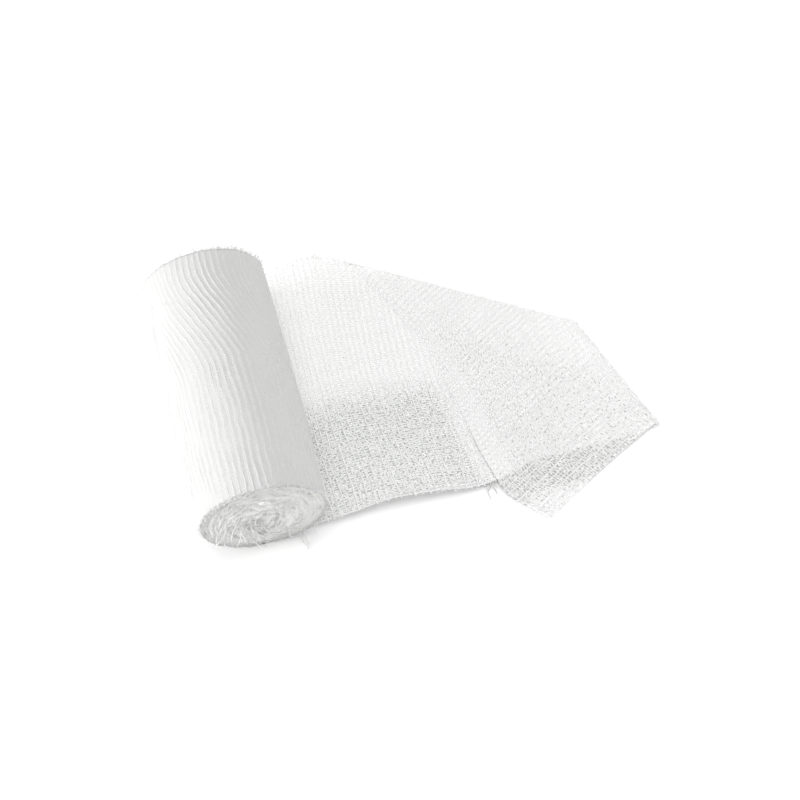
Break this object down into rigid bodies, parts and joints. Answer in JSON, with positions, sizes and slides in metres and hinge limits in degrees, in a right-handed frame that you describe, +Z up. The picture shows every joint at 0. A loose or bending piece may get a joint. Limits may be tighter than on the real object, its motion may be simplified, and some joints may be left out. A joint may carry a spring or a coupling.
{
  "type": "gauze bandage roll",
  "caption": "Soft roll of open-weave cotton gauze lying on its side, its loose end drawn out and folded back across itself.",
  "frame": {"origin": "middle of the roll's flat resting spot, on the surface it lies on", "axes": "+Y along the roll's axis to its far end, +X the way the loose end is drawn out, +Z up"},
  "size_m": [0.1681, 0.1234, 0.0373],
  "materials": {
    "cotton_gauze": "matte off-white cotton"
  },
  "bodies": {
    "root": {"wound_roll": "cotton_gauze", "loose_end": "cotton_gauze"}
  },
  "joints": []
}
